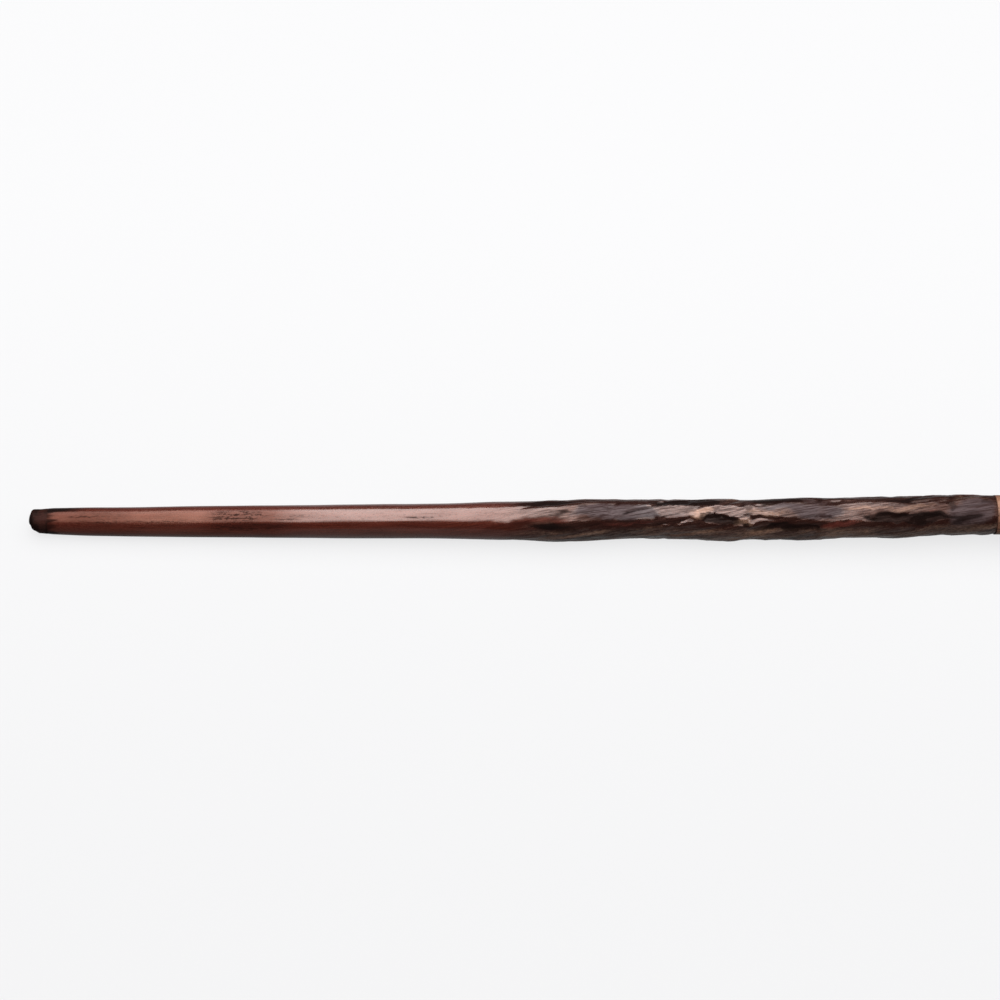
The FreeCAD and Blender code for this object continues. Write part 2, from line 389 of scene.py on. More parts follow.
BARE = (
    Mark(138.5, 5, 10.0, 20, 0.0, 1.0),
    Mark(132.0, -8, 16.0, 17, 0.0, 1.0),
    Mark(154.0, 2, 8.0, 12, 0.0, 0.7),
    Mark(176.0, 4, 7.0, 12, 0.0, 0.6),
    Mark(186.0, -16, 9.0, 13, 0.0, 1.0),
    Mark(202.0, -14, 7.0, 12, -1.0, 0.7),
    Mark(231.0, 10, 9.0, 14, 0.0, 0.8),
    Mark(236.0, -24, 12.0, 14, 0.0, 0.9),
)
RUBBED = (
    Mark(62.0, -12, 22.0, 15, 0.0, 1.0),
    Mark(88.0, -8, 22.0, 15, 0.0, 1.0),
    Mark(110.0, -8, 18.0, 16, 0.0, 1.0),
)
DULL = (
    Mark(158.0, 26, 15.0, 32, 0.0, 1.0),
    Mark(172.0, 12, 9.0, 14, 0.0, 0.4),
    Mark(201.0, 38, 7.0, 12, 0.0, 0.6),
    Mark(212.0, 26, 10.0, 34, 0.0, 0.9),
    Mark(212.0, 64, 9.0, 16, 0.0, 0.5),
    Mark(254.0, 10, 9.0, 60, 0.0, 0.9),
)
# Soot in the hollows. The marks facing 58 to 66 paint shade along the top edge, which faces away from the
# light.
SOOT_AND_SHADE_MARKS = (
    Mark(186.5, 0, 7.5, 20, -1.6, 1.0),
    Mark(232.0, 0, 8.0, 27, 0.0, 1.0),
    Mark(241.0, -6, 8.0, 27, 0.0, 1.0),
    Mark(206.0, -24, 9.0, 18, -1.2, 0.8),
    Mark(175.0, 66, 10.0, 16, 0.4, 0.9),
    Mark(139.0, 63, 12.0, 14, 0.0, 0.9),
    Mark(181.0, 58, 6.5, 19, 0.0, 1.0),
    Mark(202.0, 60, 9.0, 19, 0.0, 1.0),
    Mark(236.0, 60, 10.0, 14, 0.0, 0.7),
    Mark(252.0, -4, 8.0, 26, 0.0, 0.5),
    Mark(9.0, 66, 8.0, 28, 0.0, 0.8),
    Mark(62.0, -17, 16.0, 20, 0.0, 0.5),
    Mark(143.0, -24, 10.0, 16, 0.0, 0.55),
)
FLECKS = (
    Mark(57.0, 24, 11.0, 28, 0.0, 1.3),
    Mark(72.0, 20, 8.0, 12, 0.0, 0.6),
    Mark(60.0, -18, 16.0, 22, 0.0, 1.2),
    Mark(20.0, 14, 12.0, 38, 0.0, 0.5),
    Mark(38.0, 8, 12.0, 30, 0.0, 0.4),
    Mark(51.0, 8, 5.0, 6, 0.0, 0.7),
    Mark(70.0, 8, 6.0, 5, 0.0, 0.8),
    Mark(106.0, 13, 6.0, 5, 0.0, 1.2),
    Mark(109.0, 26, 6.0, 4, 0.0, 0.6),
    Mark(22.0, -4, 7.0, 6, 0.0, 0.6),
    Mark(34.0, 2, 9.0, 4, 0.0, 0.7),
    Mark(14.0, 20, 6.0, 7, 0.0, 0.5),
)
CAP_WEAR = (
    Mark(0.0, -80, 3.0, 85, 0.0, 0.9),
    Mark(0.0, 110, 1.2, 60, 0.0, 0.25),
)


def random_marks(seed, count, start, end, lengths, widths, amounts):
    """Seeded marks strewn over a stretch of the wand, all the way round it."""
    rng = np.random.default_rng(seed)
    return [
        Mark(
            rng.uniform(start, end),
            rng.uniform(-180, 180),
            rng.uniform(*lengths),
            rng.uniform(*widths),
            rng.uniform(-1.5, 0.5),
            rng.uniform(*amounts),
        )
        for _ in range(count)
    ]


def unseen(grid):
    """1 on the sides that the picture doesn't show, 0 towards the camera."""
    return eased(np.abs(grid.facing), 60, 95)


def grooves(grid, seed):
    """Heights in mm of the long narrow grooves that scraping along the grain leaves."""
    wide = 1 - np.abs(noise(grid, 11.0, 22, seed, GRAIN_TWIST))
    narrow = 1 - np.abs(noise(grid, 7.0, 38, seed + 1, GRAIN_TWIST))
    return -0.11 * eased(wide, 0.55, 1.0) - 0.05 * eased(narrow, 0.6, 1.0)


def rough_carving(grid, seed):
    """Heights in mm of hand carving: lumps, winding furrows, grooves and chisel dents."""
    lumps = 0.10 * noise(grid, 9.0, 5, seed, GRAIN_TWIST)
    valleys = 1 - np.abs(noise(grid, 15.0, 6, seed + 1, 2 * GRAIN_TWIST))
    furrows = -0.20 * eased(valleys, 0.7, 1.0)
    grit = 0.012 * noise(grid, 0.5, 60, seed + 4)
    start, end = grid.place.min(), grid.place.max()
    count = round(1.2 * (end - start))
    dents = random_marks(seed + 5, count, start, end, (1.0, 4.0), (5, 14), (0.02, 0.10))
    return 0.05 + lumps + furrows + grooves(grid, seed + 2) + grit - scooped(grid, dents)


def smooth_relief(grid):
    """Heights in mm of the shaft's sanded front half, which is only a little uneven."""
    return (
        0.06
        + 0.03 * noise(grid, 14.0, 3, 11)
        + 0.02 * noise(grid, 6.0, 7, 12)
        + 0.010 * noise(grid, 8.0, 40, 13)
    )


def unseen_knots(grid, uneven):
    """Heights in mm of knots with raised rims, on the sides that the picture doesn't show."""
    knots = random_marks(21, 14, CARVING_FULL_MM, LAST_KNOT_MM, (3.0, 5.5), (16, 26), (0.35, 0.7))
    rims = [
        mark._replace(half_length=1.5 * mark.half_length, half_width=1.5 * mark.half_width, amount=0.25)
        for mark in knots
    ]
    return unseen(grid) * (soft(uneven, rims) - scooped(uneven, knots))


def fading_at_ends(grid, start, end, rise, fall):
    """0 at a stretch's start and end, and 1 between its first rise and its last fall. All are mm."""
    return eased(grid.place, start, start + rise) * (1 - eased(grid.place, end - fall, end))


def shaft_relief(grid):
    """The shaft's heights in mm over its plain CAD skin. It stays plain where the wand rests."""
    uneven = frayed(grid)
    carved = eased(grid.place, CARVING_START_MM, CARVING_FULL_MM)
    shown = soft(uneven, CRESTS) - soft(uneven, HOLLOWS)
    splinters = 0.09 * soft(uneven, DULL) * noise(grid, 3.5, 32, 14, GRAIN_TWIST)
    carving = 0.2 + rough_carving(grid, 31) + unseen_knots(grid, uneven) + shown + splinters
    height = smooth_relief(grid) * (1 - carved) + carved * carving
    ends = fading_at_ends(grid, SHAFT_START / MM, COLLAR_START / MM, 1.5, 2.0)
    below = Mark(BELLY_PLACE_MM, -90 - VIEW_ELEVATION, 7.0, 26, 0.0, 1.0)
    resting = 1 - eased(oval(grid, below), 0, 0.6)
    return np.clip(height, *SHAFT_HEIGHTS_MM) * ends * resting


# How much the shaft's wood shines by itself and how much clear varnish is left on it, by place in mm
SHEEN = (
    (6, 0.50), (25, 0.65), (31, 0.95), (46, 1.0), (51, 0.68), (66, 0.65), (76, 0.88), (104, 0.85),
    (147, 0.8), (152, 0.42), (163, 0.42), (167, 0.75), (180, 0.88), (200, 0.8), (206, 0.38),
    (217, 0.45), (221, 0.88), (229, 0.6), (248, 0.42), (256, 0.28),
)
VARNISH = (
    (6, 0.0), (46, 0.08), (66, 0.15), (76, 0.75), (82, 0.95), (104, 0.92), (140, 0.8), (147, 0.5),
    (152, 0.25), (162, 0.35), (166, 0.95), (190, 0.9), (200, 0.7), (206, 0.3), (215, 0.2),
    (221, 0.7), (228, 0.4), (250, 0.12), (256, 0.05),
)


def by_place(grid, table):
    """A value along the wand, straight between a table's (place, value) points."""
    return np.interp(grid.place, *zip(*table))


def shaft_masks(grid, height):
    """The shaft's finishes, as shares from 0 to 1. The underside keeps more varnish, and is painted
    lighter as floor light.
    """
    uneven = frayed(grid)
    behind = unseen(grid)
    carved = eased(grid.place, CARVING_START_MM + 4, CARVING_FULL_MM - 4)
    streaks = blotchy(grid, 7.0, 34, 41, GRAIN_TWIST)
    blotches = blotchy(grid, 8.0, 6, 42, GRAIN_TWIST)
    patches = blotchy(grid, 3.5, 12, 43, GRAIN_TWIST)
    grooved = eased(-grooves(grid, 33), 0.05, 0.14) * carved
    raised = eased(height, 0.15, 0.35) * carved
    sunk = eased(-height, 0.0, 0.4) * carved
    by_cap = 1 - eased(grid.place + 3.0 * streaks, SHAFT_START / MM + 0.5, SHAFT_START / MM + 7.0)
    kept = 1 - np.clip(soft(uneven, BARE) + soft(grid, RUBBED), 0, 1)
    under = eased(-grid.facing, 5, 40)
    varnish = by_place(grid, VARNISH) * kept * (1 - 0.45 * under)
    # Darker in sunk places and grooves, and less so on the underside, where this paints floor light.
    sunk_dark_lighter_below = (0.8 * sunk + 0.45 * grooved) * (1 - 0.6 * under)
    # Wear on the hidden crests, and a tan painted floor light on the carved underside.
    crest_wear_and_floor_light = behind * raised * 0.5 + 0.5 * under * carved * (0.3 + 0.7 * streaks)
    ashen = behind * carved * eased(blotches, 0.5, 0.9)
    return {
        "carved": carved,
        # Worn wood, painted highlight on some crests, and painted floor light on the underside
        "wear_and_light": soft(uneven, WORN_AND_LIT) * (0.6 + 0.4 * streaks) + crest_wear_and_floor_light,
        # Soot marks with painted shade along the top edge, darker sunk places, and the dark band by the
        # cap
        "soot_and_shade": soft(uneven, SOOT_AND_SHADE_MARKS) * (0.7 + 0.4 * streaks) + sunk_dark_lighter_below + 0.75 * by_cap,
        "flecked": soft(grid, FLECKS),
        "ruddy": soft(uneven, RUDDY) + behind * carved * eased(blotches, 0.1, 0.4) * 0.5,
        "dull": soft(uneven, DULL) * (0.5 + 0.7 * patches) + ashen,
        "sheen": by_place(grid, SHEEN) * (0.3 + 0.7 * kept),
        "varnish": np.maximum(varnish, under * carved * (0.5 + 0.5 * patches)),
    }


def handle_masks(grid, height):
    """The handle's finishes: darker in its hollows, worn on its crests and varnished all over."""
    blotches = blotchy(grid, 8.0, 5, 52)
    return {
        "carved": np.full_like(height, 0.8),
        "wear_and_light": eased(height, 0.0, 0.12) * 0.6,
        "soot_and_shade": eased(-height, 0.1, 0.35),
        "flecked": eased(blotches, 0.2, 0.6),
        "ruddy": eased(blotches, 0.4, 0.9) * 0.5,
        "dull": eased(blotches, 0.6, 0.95) * 0.5,
        "sheen": 0.9 - 0.3 * blotches,
        "varnish": 0.7 - 0.4 * blotches,
    }


MASKS = ("carved", "wear_and_light", "soot_and_shade", "flecked", "ruddy", "dull", "sheen", "varnish")


# --- Closed meshes from rings ---

Band = namedtuple("Band", "points masks")


def plain_band(stations, **shares):
    """Round rings about the axis at (place, radius) stations, for bores, tenons and end faces.

    Finish shares that aren't given are 0.
    """
    places = np.array([place for place, _ in stations])
    radii = np.array([radius for _, radius in stations])
    points = placed(places, np.repeat(radii[:, None], AROUND, axis=1), np.zeros((len(places), 2)))
    return Band(points, {name: np.full(points.shape[:2], shares.get(name, 0.0)) for name in MASKS})


def skin_band(places, hearts, radii, masks):
    """Rings of a carved skin, kept above the surface that the wand lies on."""
    points = placed(places, radii, hearts)
    points[:, :, 2] = np.maximum(points[:, :, 2], 0.0)
    return Band(points, {name: np.clip(masks[name], 0, 1) for name in MASKS})


def untwisted(points):
    """Grain coordinates: the wand's own, turned back so that lines along them wind round the wand."""
    flat = points.reshape(-1, 3) - TIP
    place, across, up = flat @ AXIS, flat @ SIDE, flat @ LIFT
    carved = np.maximum(place / MM - CARVING_START_MM, 0)
    turn = np.radians(GRAIN_TWIST * carved)
    return np.stack((
        place,
        across * np.cos(turn) - up * np.sin(turn),
        across * np.sin(turn) + up * np.cos(turn),
    ), axis=1)


def quads_between(rings, closed):
    """Faces between neighbouring rings, and from the last to the first where the chain is closed."""
    faces = []
    for ring in range(rings if closed else rings - 1):
        here, there = ring * AROUND, (ring + 1) % rings * AROUND
        for step in range(AROUND):
            after = (step + 1) % AROUND
            faces.append((here + step, here + after, there + after, there + step))
    return faces


def end_fans(rings):
    """Triangles from the first and last ring to a middle point each."""
    first, last = rings * AROUND, rings * AROUND + 1
    base = (rings - 1) * AROUND
    fans = []
    for step in range(AROUND):
        after = (step + 1) % AROUND
        fans.append((first, after, step))
        fans.append((last, base + step, base + after))
    return fans


def store(mesh, name, kind, values):
    """Keeps values on a mesh's points, for its material."""
    attribute = mesh.attributes.new(name, kind, "POINT")
    attribute.data.foreach_set("vector" if kind == "FLOAT_VECTOR" else "value", values.ravel())


def chained(name, bands, closed, material, sharp_angle=SHARP_ANGLE):
    """One closed piece through bands of rings. An open chain is capped at both ends."""
    points = np.concatenate([band.points for band in bands])
    rings = len(points)
    masks = {mask: np.concatenate([band.masks[mask] for band in bands]).ravel() for mask in MASKS}
    corners = points.reshape(-1, 3)
    faces = quads_between(rings, closed)
    if not closed:
        corners = np.concatenate([corners, points[:1].mean(axis=1), points[-1:].mean(axis=1)])
        masks = {mask: np.append(values, (0, 0)) for mask, values in masks.items()}
        faces += end_fans(rings)
    mesh = bpy.data.meshes.new(name)
    mesh.from_pydata(corners.tolist(), [], faces)
    outward_normals(mesh)
    store(mesh, "grain", "FLOAT_VECTOR", untwisted(corners))
    for mask in MASKS:
        store(mesh, mask, "FLOAT", masks[mask])
    mesh.polygons.foreach_set("use_smooth", [True] * len(mesh.polygons))
    mesh.set_sharp_from_angle(angle=math.radians(sharp_angle))
    mesh.materials.append(material)
    piece = bpy.data.objects.new(name, mesh)
    bpy.context.scene.collection.objects.link(piece)
    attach(piece, "root")
    return piece


def outward_normals(mesh):
    """Turns all faces of a closed mesh outward."""
    shape = bmesh.new()
    shape.from_mesh(mesh)
    bmesh.ops.recalc_face_normals(shape, faces=shape.faces)
    shape.to_mesh(mesh)
    shape.free()


# --- Materials: all colour, grain, wear and gloss from nodes ---

def add(tree, kind, settings=None, **inputs):
    """A new node. Its inputs take a value or another node's output, with _ for a space in a name."""
    node = tree.nodes.new(kind)
    for key, value in (settings or {}).items():
        setattr(node, key, value)
    for key, value in inputs.items():
        feed(tree, node.inputs[key.replace("_", " ")], value)
    return node


def feed(tree, socket, value):
    """Gives a socket a value or links an output to it."""
    if isinstance(value, bpy.types.NodeSocket):
        tree.links.new(value, socket)
    else:
        socket.default_value = value


def calc(tree, operation, first, second, clamp=False):
    """The result of an operation on two numbers or outputs."""
    node = add(tree, "ShaderNodeMath", {"operation": operation, "use_clamp": clamp})
    feed(tree, node.inputs[0], first)
    feed(tree, node.inputs[1], second)
    return node.outputs[0]


def times(tree, product, *factors):
    """The product of numbers or outputs."""
    for factor in factors:
        product = calc(tree, "MULTIPLY", product, factor)
    return product


def rescaled(tree, value, low, high, new_low, new_high):
    """A value eased from one range to another and held at its ends."""
    node = add(tree, "ShaderNodeMapRange", {"interpolation_type": "SMOOTHSTEP"},
               Value=value, From_Min=low, From_Max=high, To_Min=new_low, To_Max=new_high)
    return node.outputs[0]


def blend(tree, share, first, second):
    """A colour between two, by share."""
    node = add(tree, "ShaderNodeMix", {"data_type": "RGBA"})
    feed(tree, node.inputs[0], share)
    feed(tree, node.inputs[6], first)
    feed(tree, node.inputs[7], second)
    return node.outputs[2]


def streaky(tree, coordinates, length, width, detail=3.0, offset=0.0):
    """Noise drawn out along the wand: cells of that length and width in metres."""
    mapping = add(tree, "ShaderNodeMapping", Vector=coordinates,
                  Location=(offset, offset, 0), Scale=(1 / length, 1 / width, 1 / width))
    return add(tree, "ShaderNodeTexNoise", Vector=mapping.outputs[0],
               Scale=1.0, Detail=detail, Roughness=0.6).outputs[0]


def share_of(tree, name):
    """A finish share kept on the skin's points."""
    return add(tree, "ShaderNodeAttribute", {"attribute_name": name}).outputs["Fac"]


def colour(red, green, blue):
    """A linear colour."""
    return (red, green, blue, 1.0)


def broken(tree, share, speckle, edge=0.25):
    """A soft mask given a frayed edge by fine noise."""
    jitter = times(tree, calc(tree, "SUBTRACT", speckle, 0.5), edge * 2)
    return rescaled(tree, calc(tree, "ADD", share, jitter), 0.15, 0.75, 0.0, 1.0)


def new_material(name):
    """A new material with its node tree and its surface shader."""
    material = bpy.data.materials.new(name)
    material.use_nodes = True
    return material, material.node_tree, material.node_tree.nodes["Principled BSDF"]


Wood = namedtuple("Wood", "light dark burnt tan ruddy ash gloss roughness tint")
Noises = namedtuple("Noises", "fibres pores clouds speckle")


def wood_noises(tree):
    """Noise that follows the grain: long fibres, short pores, broad clouds and fine speckle."""
    grain = add(tree, "ShaderNodeAttribute", {"attribute_name": "grain"}).outputs["Vector"]
    return Noises(
        fibres=streaky(tree, grain, 9 * MM, 0.28 * MM),
        pores=streaky(tree, grain, 2.5 * MM, 0.12 * MM, 2.0, 0.7),
        clouds=streaky(tree, grain, 16 * MM, 3.0 * MM, 2.0, 0.3),
        speckle=streaky(tree, grain, 1.1 * MM, 0.45 * MM, 4.0, 0.5),
    )


def soot_and_shade_share(tree, noises):
    """Soot and painted shade in frayed patches, and flecks of soot as dots and short dashes."""
    dots = times(tree, calc(tree, "ADD", noises.fibres, noises.speckle), 0.5)
    flecks = times(tree, share_of(tree, "flecked"), rescaled(tree, dots, 0.46, 0.55, 0.0, 0.85))
    patches = broken(tree, share_of(tree, "soot_and_shade"), noises.fibres, 0.4)
    return calc(tree, "MAXIMUM", patches, flecks)


def wood_colour(tree, wood, noises, dull, soot_and_shade_amount):
    """The wood's colour: grain, burning, stain, wear and painted light, ash, soot and painted shade, dark
    pores.
    """
    base = blend(tree, rescaled(tree, noises.fibres, 0.35, 0.65, 0.0, 1.0), wood.dark, wood.light)
    base = blend(tree, rescaled(tree, noises.clouds, 0.4, 0.7, 0.0, 0.5), base, wood.ruddy)
    base = blend(tree, rescaled(tree, share_of(tree, "carved"), 0.0, 1.0, 0.0, 0.88), base, wood.burnt)
    base = blend(tree, broken(tree, share_of(tree, "ruddy"), noises.speckle), base, wood.ruddy)
    # Worn wood in tan, which also paints some highlights and the floor light below
    base = blend(tree, broken(tree, share_of(tree, "wear_and_light"), noises.speckle), base, wood.tan)
    ashen = times(tree, dull, rescaled(tree, noises.fibres, 0.38, 0.6, 0.25, 0.95))
    base = blend(tree, ashen, base, wood.ash)
    sooted_and_shaded = times(tree, soot_and_shade_amount, rescaled(tree, noises.clouds, 0.3, 0.7, 1.0, 0.75))
    base = blend(tree, sooted_and_shaded, base, SOOT_AND_SHADE_COLOUR)
    return blend(tree, rescaled(tree, noises.pores, 0.60, 0.72, 0.0, 0.6), base, wood.burnt)


def wood_gloss(tree, wood, noises, dull, soot_and_shade_amount):
    """How much of its shine the finish has left: less on open grain, dull patches, soot and painted shade.
    """
    open_grain = times(tree, share_of(tree, "carved"), rescaled(tree, noises.fibres, 0.42, 0.6, 0.7, 0.0))
    return times(
        tree,
        rescaled(tree, noises.clouds, 0.25, 0.6, 0.8, 1.0),
        wood.gloss,
        rescaled(tree, noises.speckle, 0.3, 0.5, 0.72, 1.0),
        calc(tree, "SUBTRACT", 1.0, open_grain),
        rescaled(tree, dull, 0.0, 1.0, 1.0, 0.3),
        rescaled(tree, soot_and_shade_amount, 0.0, 1.0, 1.0, 0.12),
    )


def wood_roughness(tree, wood, noises, dull):
    """Rougher on dull patches, and uneven all over."""
    roughness = calc(tree, "ADD", wood.roughness, times(tree, dull, 0.2))
    uneven = rescaled(tree, noises.speckle, 0.3, 0.7, -0.05, 0.08)
    return calc(tree, "ADD", roughness, uneven, clamp=True)


def add_wood_bumps(tree, surface, noises, dull):
    """Fine bumps of fibres, pores and speckle. The coat of varnish evens them out a little."""
    height = calc(tree, "ADD", times(tree, noises.fibres, 0.7), times(tree, noises.pores, -0.5))
    height = calc(tree, "ADD", height, times(tree, noises.speckle, calc(tree, "ADD", 0.2, dull)))
    for socket, strength, depth in (("Normal", 0.8, 0.035 * MM), ("Coat Normal", 0.4, 0.02 * MM)):
        bump = add(tree, "ShaderNodeBump", Strength=strength, Distance=depth, Height=height)
        feed(tree, surface.inputs[socket], bump.outputs[0])


def wood_material(name, wood):
    """Oiled and varnished carved wood: grain, soot and painted shade, worn crests and painted light, dull
    patches.
    """
    material, tree, surface = new_material(name)
    noises = wood_noises(tree)
    dull = broken(tree, share_of(tree, "dull"), noises.speckle)
    soot_and_shade_amount = soot_and_shade_share(tree, noises)
    gloss = wood_gloss(tree, wood, noises, dull, soot_and_shade_amount)
    finish = {
        "Base Color": wood_colour(tree, wood, noises, dull, soot_and_shade_amount),
        "Roughness": wood_roughness(tree, wood, noises, dull),
        "Specular IOR Level": times(tree, share_of(tree, "sheen"), gloss, SHEEN_LEVEL),
        "Specular Tint": blend(tree, dull, wood.tint, DULL_TINT),
        "Coat Weight": calc(tree, "MULTIPLY", share_of(tree, "varnish"), gloss, clamp=True),
        "Coat Roughness": rescaled(tree, noises.speckle, 0.3, 0.7, 0.06, 0.16),
        "Coat IOR": VARNISH_IOR,
    }
    for socket, value in finish.items():
        feed(tree, surface.inputs[socket], value)
    add_wood_bumps(tree, surface, noises, dull)
    return material


Metal = namedtuple("Metal", "light dark roughness line_length line_width")


def metal_material(name, metal):
    """Drawn or turned metal: fine lines along or round it, and a little tarnish."""
    material, tree, surface = new_material(name)
    place = add(tree, "ShaderNodeTexCoord").outputs["Object"]
    lines = streaky(tree, place, metal.line_length, metal.line_width)
    clouds = streaky(tree, place, 4 * MM, 2 * MM, 3.0, 0.4)
    tarnish = rescaled(tree, clouds, 0.35, 0.7, 0.0, 1.0)
    feed(tree, surface.inputs["Base Color"], blend(tree, tarnish, metal.light, metal.dark))
    feed(tree, surface.inputs["Metallic"], 1.0)
    roughness = rescaled(tree, lines, 0.3, 0.7, metal.roughness, metal.roughness + 0.15)
    feed(tree, surface.inputs["Roughness"], roughness)
    bump = add(tree, "ShaderNodeBump", Strength=0.5, Distance=0.01 * MM, Height=lines)
    feed(tree, surface.inputs["Normal"], bump.outputs[0])
    return material


# Shine: the tints of its reflections, its level under a full sheen, and the varnish's refraction
RED_TINT = colour(1.0, 0.47, 0.335)
WARM_TINT = colour(1.0, 0.75, 0.62)
DULL_TINT = colour(0.9, 0.79, 0.83)
SHEEN_LEVEL = 0.6
VARNISH_IOR = 1.5

# Near black: soot, and painted shade along the shaft's top edge.
SOOT_AND_SHADE_COLOUR = colour(0.0035, 0.002, 0.0018)
ASH = colour(0.038, 0.026, 0.0265)

CAP_WOOD = Wood(
    light=colour(0.014, 0.0054, 0.0040), dark=colour(0.006, 0.0027, 0.0022),
    burnt=colour(0.005, 0.0024, 0.0020), tan=colour(0.036, 0.021, 0.015),
    ruddy=colour(0.017, 0.0052, 0.0040), ash=colour(0.012, 0.0085, 0.0075), gloss=0.05, roughness=0.5,
    tint=WARM_TINT,
)
SHAFT_WOOD = Wood(
    light=colour(0.036, 0.0070, 0.0040), dark=colour(0.020, 0.0038, 0.0024),
    burnt=colour(0.0066, 0.0028, 0.0022), tan=colour(0.105, 0.060, 0.040),
    ruddy=colour(0.034, 0.0075, 0.0055), ash=ASH, gloss=1.0, roughness=0.26, tint=RED_TINT,
)
COLLAR_WOOD = Wood(
    light=colour(0.185, 0.095, 0.056), dark=colour(0.100, 0.048, 0.029), burnt=colour(0.045, 0.021, 0.013),
    tan=colour(0.17, 0.095, 0.060), ruddy=colour(0.105, 0.040, 0.024), ash=colour(0.060, 0.040, 0.030),
    gloss=0.4, roughness=0.38, tint=WARM_TINT,
)
GRIP_WOOD = Wood(
    light=colour(0.030, 0.0090, 0.0055), dark=colour(0.014, 0.0048, 0.0034),
    burnt=colour(0.0085, 0.0040, 0.0030), tan=colour(0.090, 0.050, 0.032),
    ruddy=colour(0.032, 0.0080, 0.0052), ash=ASH, gloss=0.9, roughness=0.32, tint=RED_TINT,
)
DRAWN_STEEL = Metal(
    light=colour(0.56, 0.57, 0.59), dark=colour(0.34, 0.34, 0.35), roughness=0.28,
    line_length=12 * MM, line_width=0.05 * MM,
)
TURNED_BRASS = Metal(
    light=colour(0.74, 0.54, 0.25), dark=colour(0.42, 0.28, 0.11), roughness=0.25,
    line_length=0.08 * MM, line_width=1.0 * MM,
)


# --- The pieces ---

def steps(start, end, step):
    """Places from start to end, about a step apart."""
    return np.linspace(start, end, round((end - start) / step) + 1)


def cap_masks(grid, height, share):
    """The cap's finishes: blotched with soot, a little worn, and ruddier towards the shaft."""
    blotches = blotchy(grid, 1.2, 9, 63)
    return handle_masks(grid, height) | {
        "wear_and_light": 0.25 * eased(blotches, 0.6, 1.0),
        "ruddy": 0.8 * eased(blotches, 0.3, 0.8) * share[:, None],
        "soot_and_shade": 0.7 * eased(blotches, 0.75, 0.2),
        "carved": np.full_like(height, 0.3),
    }


def make_tip_cap():
    """The dark cap: a blunt dome, worn off at its edge, on its peg."""
    share = np.linspace(0, 1, CAP_RINGS)
    places = CAP_START + (SHAFT_START - CAP_START) * share ** CAP_CROWDING
    hearts, radii = turned_skin("tip_cap", places)
    grid = grid_over(places)
    height = 0.03 * noise(grid, 1.6, 7, 61) + 0.03 * noise(grid, 3.0, 30, 62) - 0.02
    height = (height - soft(grid, CAP_WEAR)) * eased(share, 0.02, 0.25)[:, None]
    height += 0.12 * eased(share, 0.7, 1.0)[:, None]
    radii[0] = CAP_FIRST_RADIUS
    skin = skin_band(places, hearts, radii + height * MM, cap_masks(grid, height, share))
    peg = plain_band([
        (SHAFT_START, PEG_RADIUS),
        (PEG_END - BEVEL, PEG_RADIUS),
        (PEG_END, PEG_RADIUS - BEVEL),
    ])
    material = wood_material("cap_wood", CAP_WOOD)
    piece = chained("tip_cap_skin", [skin, peg], False, material, CAP_SHARP_ANGLE)
    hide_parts("tip_cap")


def make_shaft():
    """The shaft: smooth in front, gnarled behind, with its bores and tenon."""
    carving = CARVING_START_MM * MM
    front = steps(SHAFT_START, carving, FRONT_STEP)
    rear = steps(carving, COLLAR_START, CARVED_STEP)
    places = np.concatenate([front, rear[1:]])
    hearts, radii = smooth_skin("shaft", places, 1.5, 2.0)
    grid = grid_over(places)
    height = shaft_relief(grid)
    skin = skin_band(places, hearts, radii + height * MM, shaft_masks(grid, height))
    peg_bore = plain_band([(PEG_BORE_END, PEG_BORE), (SHAFT_START, PEG_BORE)])
    tenon_and_bore = plain_band([
        (COLLAR_START, TENON_RADIUS),
        (TENON_END - TENON_BEVEL_LENGTH, TENON_RADIUS),
        (TENON_END, TENON_RADIUS - BEVEL),
        (TENON_END, CORE_BORE),
        (CORE_BORE_START, CORE_BORE),
    ])
    material = wood_material("shaft_wood", SHAFT_WOOD)
    piece = chained("shaft_skin", [peg_bore, skin, tenon_and_bore], False, material)
    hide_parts("shaft")


def collar_masks(height, nicks, edges, blotches):
    """A collar's finishes: dark in its nicks and at its edges, and a little worn between them."""
    return {
        "carved": 0.35 * blotches,
        "wear_and_light": 0.5 * eased(height, -0.03, 0.02) * blotches,
        "soot_and_shade": np.maximum(1 - edges, 8 * nicks),
        "flecked": 0.7 * blotches,
        "ruddy": 0.6 * eased(blotches, 0.5, 0.9),
        "dull": 0.4 * eased(blotches, 0.4, 0.8),
        "sheen": 0.9 - 0.3 * blotches,
        "varnish": 0.5 - 0.3 * blotches,
    }


def make_collar(node, bore, start, end, material, seed):
    """A turned collar with fine tool rings and a little wear."""
    places = steps(start, end, COLLAR_STEP)
    hearts, radii = turned_skin(node, places)
    grid = grid_over(places)
    wobble = 0.6 * noise(grid, 2.0, 4, seed)
    rings = 0.012 * np.sin(grid.place * 2 * math.pi / COLLAR_RING_PITCH_MM + wobble)
    marks = random_marks(seed + 1, 14, start / MM, end / MM, (0.3, 1.2), (3, 9), (0.03, 0.08))
    nicks = scooped(grid, marks)
    height = rings + 0.02 * noise(grid, 3.0, 30, seed + 2) - nicks - 0.03
    edges = fading_at_ends(grid, start / MM, end / MM, 0.5, 0.5)
    blotches = blotchy(grid, 3.0, 8, seed + 3)
    skin = skin_band(places, hearts, radii + height * MM, collar_masks(height, nicks, edges, blotches))
    hole = plain_band([(end, bore), (start, bore)])
    piece = chained(node + "_skin", [skin, hole], True, material)
    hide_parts(node)


